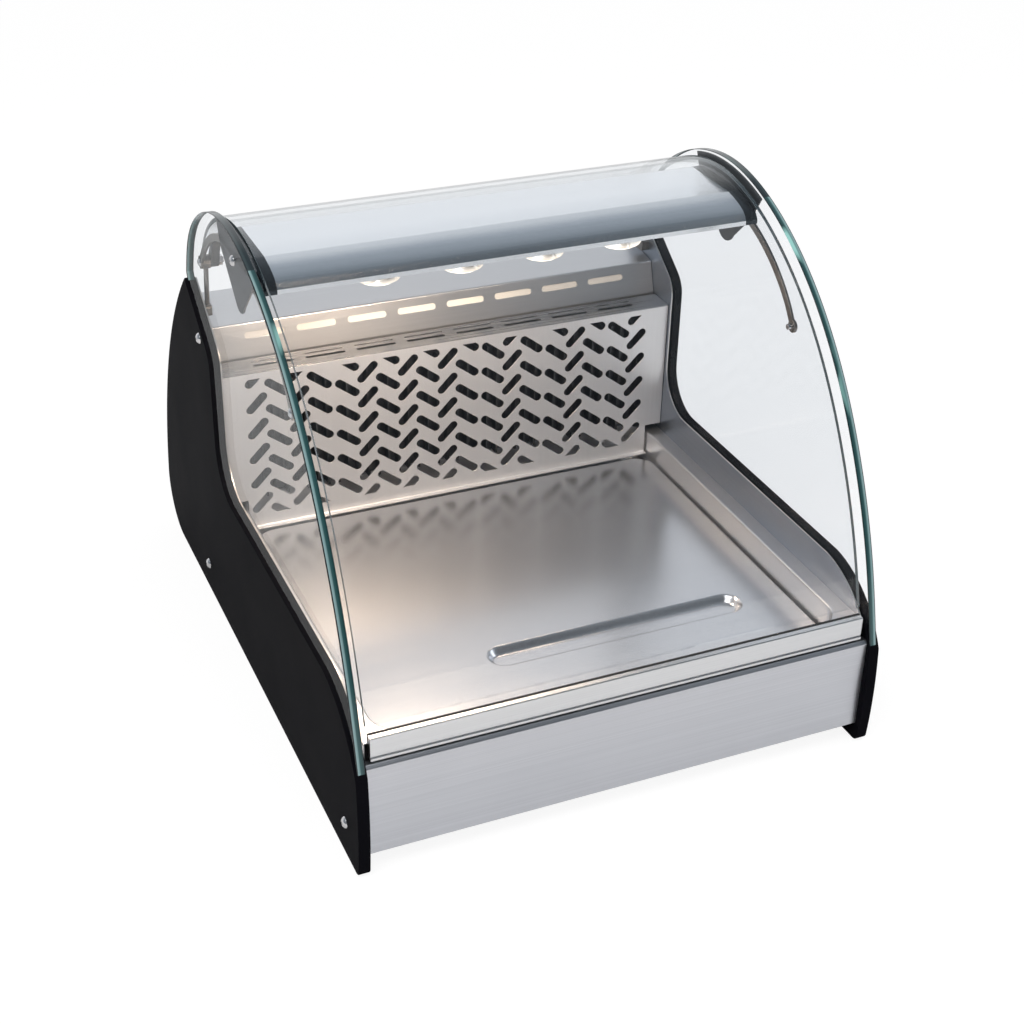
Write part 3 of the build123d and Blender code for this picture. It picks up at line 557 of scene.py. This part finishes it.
well_steel = brushed(
    "well_steel", (0.62, 0.63, 0.655), (0.72, 0.73, 0.755), 0.30, 0.06, (3, 300, 300), 0.015, metal=0.92
)
FLANGE_MIDDLE, FLANGE_WIDE, FLANGE_DEEP, FLANGE_Z = 260.5, 533, 483, 140
WELL_MIDDLE, WELL_WIDE, WELL_DEEP, WELL_CORNER = 258, 496, 460, 28
rim_bend = [(-2.6, FLANGE_Z), (-1.4, 139.7), (-0.5, 139), (0, 137.6)]
foot_bend = [(0, 107), (0.4, 104.6), (1.6, 102.8), (3.6, 102.3)]
bm = bmesh.new()
edges = [[(x, y, FLANGE_Z) for x, y in box_ring(0, FLANGE_MIDDLE, FLANGE_WIDE, FLANGE_DEEP, 0.5)]]
for inset, z in rim_bend + foot_bend:
    ring = box_ring(0, WELL_MIDDLE, WELL_WIDE - 2 * inset, WELL_DEEP - 2 * inset, WELL_CORNER - inset)
    edges.append([(x, y, z) for x, y in ring])
ringed(bm, edges)
tray = settle("pressed_well", bm, 50)
thicken(tray, 0.0012)
fit(tray, [well_steel], "cabinet", "well")

# Floor plate. A bright brushed sheet with turned-down edges lies in the well and lifts out by one long
# pressed finger groove near the front. It is smooth enough to mirror the perforated panel.
plate_steel = brushed(
    "plate_steel", (0.60, 0.61, 0.635), (0.70, 0.71, 0.735), 0.24, 0.05, (2.5, 300, 300), 0.02, metal=0.93
)
PLATE_MIDDLE, PLATE_WIDE, PLATE_DEEP, PLATE_CORNER, PLATE_Z = 242, 491, 423, 24, 111.5
GROOVE_X, GROOVE_Y, GROOVE_WIDE, GROOVE_DEEP, GROOVE_END = 49, 134, 287, 33, 16.4
turned_down = [(0, 102.8), (0, 109.1), (0.3, 110.3), (1.0, 111.1), (2.4, PLATE_Z)]
groove_lip = [(-2.4, 0), (-1.6, -0.25), (-0.8, 0.0), (0.6, 0.7)]
groove_wall = [(2.2, 2.6), (4.2, 5.2), (5.6, 6.5), (7.4, 7.0)]
bm = bmesh.new()
rim = []
for inset, z in turned_down:
    ring = box_ring(0, PLATE_MIDDLE, PLATE_WIDE - 2 * inset, PLATE_DEEP - 2 * inset, PLATE_CORNER - inset)
    rim.append([(x, y, z) for x, y in ring])
for inset, drop in groove_lip + groove_wall:
    wide, deep = GROOVE_WIDE - 2 * inset, GROOVE_DEEP - 2 * inset
    ring = box_ring(GROOVE_X, GROOVE_Y, wide, deep, GROOVE_END - inset)
    rim.append([(x, y, PLATE_Z - drop) for x, y in ring])
ringed(bm, rim)
plate = settle("lift_out_floor", bm, 40)
thicken(plate, 0.0011)
fit(plate, [plate_steel], "floor", "floor_plate")

# Perforated panel. A stainless sheet punched with slots that lean left and right in turn, with a small
# flange along the bottom that rests on the well. Slots at the border of the field are cut off.
PERF_HALF = 266.0
FOOT_HALF = 246.0
FOOT_Y, FACE_Y, FOOT_Z, PERF_TOP = 454.5, 461, 114.2, 302
COLUMN_PITCH, RUN_GAP, ROW_PITCH, HOLE_WIDE = 23.6, 7.9, 30.75, 9.6
FIELD_HALF, FIELD_LOW, FIELD_HIGH = 248, 127, 295
SMALLEST = 12


def slot(cx, cy, length, width, turn=0.0, count=8):
    ring = box_ring(0, 0, length, width, width / 2 - 0.01, count)
    c, s = math.cos(math.radians(turn)), math.sin(math.radians(turn))
    return [(cx + x * c - y * s, cy + x * s + y * c) for x, y in ring]


def trimmed(loop, low_x, high_x, low_y, high_y):
    for axis, limit, sign in ((0, low_x, 1), (0, high_x, -1), (1, low_y, 1), (1, high_y, -1)):
        kept = []
        for a, b in zip(loop, loop[1:] + loop[:1]):
            da, db = sign * (a[axis] - limit), sign * (b[axis] - limit)
            if da >= 0:
                kept.append(a)
            if da * db < 0:
                t = da / (da - db)
                kept.append((a[0] + (b[0] - a[0]) * t, a[1] + (b[1] - a[1]) * t))
        loop = kept
    return loop


panel_steel = brushed(
    "panel_steel", (0.74, 0.74, 0.75), (0.86, 0.86, 0.87), 0.36, 0.08, (420, 420, 3), 0.03, metal=0.70
)
field = []
column_x = -230.0
drop = FOOT_Z - (FACE_Y - FOOT_Y)
for run, columns in enumerate((4, 7, 3, 3, 2)):
    for column in range(columns):
        leans_right = column % 2 == (0 if run == 0 else 1)
        raised = leans_right != (run % 2 == 0)
        for row in range(-1, 6):
            z = (281 if raised else 265.6) - row * ROW_PITCH
            lean, length = (45, 30) if leans_right else (-37, 33)
            whole = slot(column_x, z, length, HOLE_WIDE, lean)
            hole = trimmed(whole, -FIELD_HALF, FIELD_HALF, FIELD_LOW, FIELD_HIGH)
            if len(hole) > 2:
                area = sum(a[0] * b[1] - b[0] * a[1] for a, b in zip(hole, hole[1:] + hole[:1])) / 2
                if abs(area) > SMALLEST:
                    field.append([(x, z - drop) for x, z in hole])
        column_x += COLUMN_PITCH
    column_x += RUN_GAP


def notched(total):
    foot = 148 - drop
    right = [(FOOT_HALF, 0), (FOOT_HALF, foot), (PERF_HALF, foot), (PERF_HALF, total)]
    return [(-FOOT_HALF, 0), *right, (-PERF_HALF, total), (-PERF_HALF, foot), (-FOOT_HALF, foot)]


foot_and_face = [(FOOT_Y, FOOT_Z, 0), (FACE_Y, FOOT_Z, 1.2), (FACE_Y, PERF_TOP, 0)]
screen = folded("air_screen", notched, field, foot_and_face, SHEET_T, 0.3)
fit(screen, [panel_steel], "cabinet", "perforated_panel")

# Shelf strip. A narrow stainless strip on top of the panel, with a wide and a narrow row of air slots and
# a turned-down back edge. A dark gap separates it from the housing behind.
SLOT_PITCH = 58.5
SLOT_LONG = 45.0
slot_places = [(i - 3.5) * SLOT_PITCH for i in range(8)]
pairs = []
for x in slot_places:
    pairs.append(slot(x, 16, SLOT_LONG, 5))
    pairs.append(slot(x, 26, SLOT_LONG, 2.4))
strip_steel = brushed(
    "strip_steel", (0.34, 0.345, 0.355), (0.44, 0.445, 0.455), 0.28, 0.08, (3, 500, 500), 0.015, metal=0.9
)
strip_line = [(461, 303.2, 0), (496, 303.2, 1.2), (496, 294, 0)]
ledger = folded("air_ledge", full_width(PERF_HALF), pairs, strip_line, SHEET_T)
fit(ledger, [strip_steel], "cabinet", "air_shelf")

# Rear housing. A folded stainless cover with one row of eight long slots in its sloping face, through
# which the strip behind it shows, with its painted light.
long_slots = [slot(x, 35.3, SLOT_LONG, 7) for x in slot_places]
housing_steel = brushed(
    "housing_steel",
    (0.62, 0.625, 0.64),
    (0.74, 0.745, 0.76),
    0.32,
    0.08,
    (3, 460, 460),
    0.012,
    metal=0.88,
)
cover = folded(
    "duct_cover",
    full_width(PERF_HALF),
    long_slots,
    [(499, 292, 0), (499, 304, 2.2), (510, 339, 2.2), (581, 350, 0)],
    SHEET_T,
)
fit(cover, [housing_steel], "cabinet", "rear_housing")

# Opal strip. A plastic strip lies behind the long slots. It is no lamp: its warm glow left of the middle,
# fading to a dull grey towards both ends, is painted lamp light.
PAINTED_LIGHT_X, PAINTED_LIGHT_HALF, PAINTED_LIGHT_END = -0.045, 0.07, 0.17
opal = Finish("opal_strip")
# Painted lamp light: warm left of the middle, fading to grey towards both ends.
painted_light_fade = opal.climb(opal.maths("ABSOLUTE", opal.place("X") - PAINTED_LIGHT_X, 0.0), PAINTED_LIGHT_HALF, PAINTED_LIGHT_END)
cloud = opal.spread(16)
painted_warm_light = opal.between(cloud, (1.0, 0.82, 0.62), (1.0, 0.90, 0.74))
opal_strip = opal.close(
    Base_Color=opal.between(cloud, (0.50, 0.46, 0.40), (0.62, 0.58, 0.52)),
    Emission_Color=opal.between(painted_light_fade, painted_warm_light, (0.16, 0.16, 0.165)),
    Emission_Strength=0.58,
    Roughness=0.4 + cloud * 0.2,
)
dress("slot_diffuser", opal_strip)

# Evaporator, fans and machine. These stand behind the sheets and are only glimpsed: thin fins on tube,
# moulded black fans, a black enamelled compressor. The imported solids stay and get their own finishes.
fin = Finish("fin_aluminium")
scuff = fin.spread(120)
fin_aluminium = fin.close(
    Base_Color=fin.between(scuff, (0.07, 0.072, 0.075), (0.20, 0.205, 0.21)),
    Roughness=0.35 + scuff * 0.2,
    Metallic=1.0,
)
moulded = Finish("black_moulding")
grain = moulded.spread(1200, detail=2)
black_moulding = moulded.close(
    Base_Color=moulded.between(grain, (0.014, 0.014, 0.015), (0.028, 0.028, 0.03)),
    Roughness=0.45 + grain * 0.15,
    Normal=moulded.relief(grain, 0.25, 0.0002),
)
sheet_steel = brushed("sheet_steel", (0.40, 0.405, 0.41), (0.54, 0.545, 0.55), 0.36, 0.12, (3, 300, 300))
enamel = powder("black_enamel", (0.012, 0.012, 0.013), (0.02, 0.02, 0.022), 0.25)
for node in ("evaporator", "condenser"):
    dress(node, fin_aluminium)
for node in ("fan_frames", "fan_rotor_left", "fan_rotor_right"):
    dress(node, black_moulding)
for node in ("base_tray", "fan_plate", "rear_panel"):
    dress(node, sheet_steel)
dress("compressor", enamel)

# Canopy. A rolled stainless shell follows the bend of the front glass near its top, with a crisp crease
# where it turns flat, dark moulded ends that wrap round it, and a flat underside with a thin lip.
CANOPY_HALF = 263.5
canopy_steel = brushed(
    "canopy_steel",
    (0.84, 0.86, 0.88),
    (0.94, 0.95, 0.96),
    0.16,
    0.05,
    (2, 500, 500),
    0.01,
    ends=(0.250, (0.045, 0.052, 0.058)),
)
brow = [(284, 473), (288, 478.6), (296, 483.5), (308, 487.5), (324, 491)]
shell_out = [tuple(p) for p in through(brow, 22)]
shell_out += rounded([(324, 491, 0), (412, 492, 11), (412, 473, 0)], 14)[1:]
shell_in = [tuple(p) for p in through([(286.4, 473), (292, 479), (305, 486), (324, 489)], 14)]
shell_in += [(402, 489), (410, 480), (410, 473)]
shell = cut("canopy_roof", shell_out + shell_in[::-1], [], -CANOPY_HALF, CANOPY_HALF, 0.2, side_on)
shell.data.set_sharp_from_angle(angle=math.radians(7))
fit(shell, [canopy_steel], "cabinet", "canopy_shell")
dress("canopy_base", canopy_steel)
dress("canopy_ends", slate)
dress("canopy_spacers", slate)

# Lamps. Four turned bright bowls hang under the canopy, each with a warm lit lens, domed at the bottom.
# The bowls are no lamp, but a warm glow is painted on them below their flange, and the lamps at the left
# are the stronger ones.
LAMP_PITCH, LAMP_SHIFT, LAMP_Y, LENS_Z = 87, -12, 313, 455


def turned(bm, profile, place, steps=48):
    rows = []
    for r, h in profile:
        if r == 0:
            rows.append([bm.verts.new(Vector(place(0, 0, h)) / 1000)])
            continue
        turns = [math.tau * i / steps for i in range(steps)]
        spots = [place(r * math.cos(t), r * math.sin(t), h) for t in turns]
        rows.append([bm.verts.new(Vector(spot) / 1000) for spot in spots])
    for low, high in zip(rows, rows[1:]):
        for i in range(steps):
            j = (i + 1) % steps
            corners = [low[i % len(low)], low[j % len(low)], high[j % len(high)], high[i % len(high)]]
            corners = list(dict.fromkeys(corners))
            if len(corners) > 2:
                bm.faces.new(corners)


bright = Finish("lamp_chrome")
haze = bright.spread(60)
# Painted glow: the bowl's emission rises from nothing at the flange to warm light below it.
lit = bright.climb(bright.place("Z"), 0.4705, 0.4645)
lamp_chrome = bright.close(
    Base_Color=bright.between(haze, (0.70, 0.70, 0.68), (0.84, 0.84, 0.82)),
    Emission_Color=bright.between(lit, (0.0, 0.0, 0.0), (1.0, 0.86, 0.70)),
    Emission_Strength=0.95,
    Roughness=0.10 + haze * 0.08,
    Metallic=1.0,
)
warm = Finish("lamp_lens")
rings = warm.spread(90)
lamp_lens = warm.close(
    Base_Color=warm.between(rings, (0.95, 0.86, 0.70), (1.0, 0.95, 0.85)),
    Emission_Color=warm.between(rings, (1.0, 0.84, 0.66), (1.0, 0.94, 0.84)),
    Emission_Strength=2.6,
    Roughness=0.15 + rings * 0.1,
)
lamp_spots = [(LAMP_SHIFT + (i - 1.5) * LAMP_PITCH, FRONT + LAMP_Y) for i in range(4)]
bowl_line = [(21, 475), (21, 471.4), (25.7, 471.4), (26, 471), (25.6, 468), (24.6, 464), (22.6, 459.6)]
bowl_line += [(21, 458.6), (19.5, 458.6), (19.1, 459.2), (19.1, 475), (21, 475)]
lens_line = [(0, 464), (18.9, 464), (18.9, 458.6), (18.0, 456.8), (15.6, 455.8), (10, 455.5), (0, 455.4)]
bowls, lenses = bmesh.new(), bmesh.new()
for lx, ly in lamp_spots:
    for body, line in ((bowls, bowl_line), (lenses, lens_line)):
        turned(body, line, lambda a, b, h: (lx + a, ly + b, DATUM + h))
fit(settle("lamp_bowls", bowls, 40), [lamp_chrome], "cabinet", "lamp_rings")
fit(settle("lamp_domes", lenses, 50), [lamp_lens], "cabinet", "lamp_lenses")
for i, ((lx, ly), energy) in enumerate(zip(lamp_spots, (0.74, 0.50, 0.16, 0.05))):
    glow = bpy.data.lights.new(f"lamp_{i}", "AREA")
    glow.shape = "DISK"
    glow.size = 0.036
    glow.energy = energy
    glow.color = (1.0, 0.77, 0.57)
    bulb = bpy.data.objects.new(f"lamp_{i}", glow)
    bulb.location = (lx / 1000, ly / 1000, (DATUM + LENS_Z) / 1000)
    bpy.context.scene.collection.objects.link(bulb)

# Brackets. Slate grey steel fins hang from the side glass and hold the ends of the canopy. Their top edge
# follows the arch of the glass, 3 mm inside it.
FIN_T = 2.0
FIN_REAR, FIN_FRONT = 430, 286
rim_line = beside(through([(142, 395), (242, 475), (366, 511), (470, 483), (526, 430)], 61), 3)
fin_top = [tuple(p) for p in rim_line if FIN_FRONT < p[0] < FIN_REAR]
fin_line = fin_top + rounded([(416, 492, 0), (414, 472, 3), (366, 431, 0)])[1:-1]
fin_line += arc((366, 431), (349, 425), (336, 435)) + [(304, 466)]
for side, x in (("left", -269.5), ("right", 269.5 - FIN_T)):
    fin_plate = cut("canopy_fin_" + side, fin_line, [], x, x + FIN_T, 0.3, side_on)
    fit(fin_plate, [slate], "cabinet", "canopy_bracket_" + side)

# Stays. A flat steel strip, bent on edge, runs inside each side glass from a front eye up to the rear
# hinge, and is held by a dome screw at each eye.
STAY_T, STAY_HALF, EYE_R, HOLE_R = 3.0, 4.0, 7.0, 3.05
STAY_X = 267.0
stay_steel = brushed("stay_steel", (0.17, 0.155, 0.145), (0.30, 0.28, 0.26), 0.32, 0.12, (300, 20, 20))
eyes = ((201, 388), (518, 412))
bow = [(518, 412), (494, 438), (464, 459), (428, 472), (385, 477), (340, 474), (304, 466), (275, 454)]
bow += [(250, 439), (229, 422), (213, 405), (201, 388)]
stay_line = through(bow, 72)
strap = [tuple(p) for p in beside(stay_line, STAY_HALF)[1:-1]]
strap += [tuple(p) for p in beside(stay_line, -STAY_HALF)[::-1][1:-1]]


def disc(cy, cz, r, count=32):
    turns = [math.tau * i / count for i in range(count)]
    return [(cy + r * math.cos(t), cz + r * math.sin(t)) for t in turns]


def joined(name, parts):
    bm = bmesh.new()
    for part in parts:
        bm.from_mesh(part.data)
        old = part.data
        bpy.data.objects.remove(part)
        bpy.data.meshes.remove(old)
    return settle(name, bm)


for side, x in (("left", -STAY_X), ("right", STAY_X - STAY_T)):
    parts = [cut("strap", strap, [], x, x + STAY_T, 0.6, side_on)]
    for eye_y, eye_z in eyes:
        rim, hole = disc(eye_y, eye_z, EYE_R), disc(eye_y, eye_z, HOLE_R)
        parts.append(cut("eye", rim, [hole], x - 0.05, x + STAY_T + 0.05, 0.6, side_on))
    fit(joined("curved_stay_" + side, parts), [stay_steel], "cabinet", "stay_" + side)
dress("hinge_posts", stay_steel)

# Screws and bolts. Bright dome heads with a cross recess, turned from bar and polished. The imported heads
# stay, in a bright finish with faint wear.
bar = Finish("screw_steel")
mark = bar.spread(400)
screw_steel = bar.close(
    Base_Color=bar.between(mark, (0.50, 0.50, 0.51), (0.72, 0.72, 0.73)),
    Roughness=0.18 + mark * 0.12,
    Metallic=1.0,
)
for node in ("panel_screws", "bracket_screws", "stay_screws", "hinge_bolts", "rear_screws"):
    dress(node, screw_steel)

# Rear controls. A rocker switch in a moulded frame, a thermostat knob on a plain dial, and a cable gland.
# They sit in the rear panel, and the dial is spun aluminium.
plain = Finish("dial_plate")
spun = plain.spread(1.0, (300, 300, 300), 4)
dial_plate = plain.close(
    Base_Color=plain.between(spun, (0.55, 0.55, 0.56), (0.72, 0.72, 0.73)),
    Roughness=0.3 + spun * 0.15,
    Metallic=1.0,
)
for node in ("switch_frame", "power_rocker", "thermostat_knob", "cable_gland"):
    dress(node, black_moulding)
dress("thermostat_dial", dial_plate)

# Studio. A pale floor, a soft world, one large soft light above the front and a weaker one at the right.
# What steel mirrors is dark towards the front and white low at the back, like a room with a bright wall.
FLOOR_WHITE = 0.82
ROOM_LIGHT = 0.62
pale = Finish("studio_floor")
seen = pale.node("ShaderNodeLightPath", out="Is Camera Ray")
cloth = pale.node("ShaderNodeBsdfPrincipled", None, {"Base Color": (0.90, 0.90, 0.905), "Roughness": 0.9})
white = pale.node("ShaderNodeEmission", None, {"Color": (1, 1, 1), "Strength": 1.08})
mixed = pale.node("ShaderNodeMixShader", None, {0: seen * FLOOR_WHITE, 1: cloth, 2: white})
pale.node("ShaderNodeOutputMaterial", None, {"Surface": mixed})
bm = bmesh.new()
bmesh.ops.create_circle(bm, cap_ends=True, radius=7, segments=64)
floor = settle("studio_floor", bm)
floor.data.materials.append(pale.material)
floor.location.z = -0.0005

world = bpy.data.worlds.new("studio")
world.use_nodes = True
bpy.context.scene.world = world
sky = Finish("sky", world.node_tree)
seen = sky.node("ShaderNodeLightPath", out="Is Camera Ray")
clear = sky.node("ShaderNodeLightPath", out="Is Transmission Ray")
shiny = sky.node("ShaderNodeLightPath", out="Is Glossy Ray")
ray = sky.node("ShaderNodeTexCoord", out="Generated")
back_and_down = (0, 0.85, -0.5)
lean = sky.node(
    "ShaderNodeVectorMath", {"operation": "DOT_PRODUCT"}, {0: ray, 1: back_and_down}, out="Value"
)
tones = [
    (0.02, (0.07, 0.085, 0.10)),
    (0.25, (0.20, 0.23, 0.26)),
    (0.56, (0.37, 0.41, 0.455)),
    (0.65, (0.97, 0.98, 1.0)),
]
room = sky.node("ShaderNodeValToRGB", {"stops": tones}, {"Fac": lean * 0.5 + 0.5})
strength = ROOM_LIGHT + (seen + clear) * (1 - ROOM_LIGHT)
plainly = sky.node("ShaderNodeBackground", None, {"Color": (1.0, 1.0, 1.0), "Strength": strength})
mirrored = sky.node("ShaderNodeBackground", None, {"Color": room, "Strength": 1.0})
either = sky.node("ShaderNodeMixShader", None, {0: shiny, 1: plainly, 2: mirrored})
sky.node("ShaderNodeOutputWorld", None, {"Surface": either})


def softbox(name, place, aim, size, energy, colour):
    lit = bpy.data.lights.new(name, "AREA")
    lit.shape = "RECTANGLE"
    lit.size, lit.size_y = size
    lit.energy = energy
    lit.color = colour
    box = bpy.data.objects.new(name, lit)
    box.location = place
    box.rotation_mode = "QUATERNION"
    box.rotation_quaternion = (Vector(aim) - Vector(place)).to_track_quat("-Z", "Y")
    bpy.context.scene.collection.objects.link(box)


softbox("key", (-0.9, -1.1, 2.3), (0, 0, 0.2), (1.6, 1.2), 28, (1.0, 0.99, 0.97))
softbox("right", (2.2, -0.6, 1.1), (0, 0, 0.2), (0.9, 1.4), 10, (0.93, 0.96, 1.0))

# Camera. It stands at the front left, above the case, with the lens and turn fitted to the photograph.
# It has no shift, and a slight roll.
azimuth, elevation, roll = math.radians(-24.10), math.radians(30.775), math.radians(1.368)
level = math.cos(elevation)
back = Vector((math.sin(azimuth) * level, -math.cos(azimuth) * level, math.sin(elevation)))
across = Vector((0, 0, 1)).cross(back).normalized()
up = back.cross(across)
lens = bpy.data.cameras.new("camera")
lens.sensor_width = 36
lens.lens = 60.8
lens.clip_start, lens.clip_end = 0.05, 60
camera = bpy.data.objects.new("camera", lens)
right = across * math.cos(roll) + up * math.sin(roll)
top = up * math.cos(roll) - across * math.sin(roll)
camera.matrix_world = Matrix((right, top, back)).transposed().to_4x4()
camera.location = (-0.6519, -1.5186, 1.1249)
bpy.context.scene.collection.objects.link(camera)
bpy.context.scene.camera = camera
bpy.context.scene.view_settings.view_transform = "Standard"
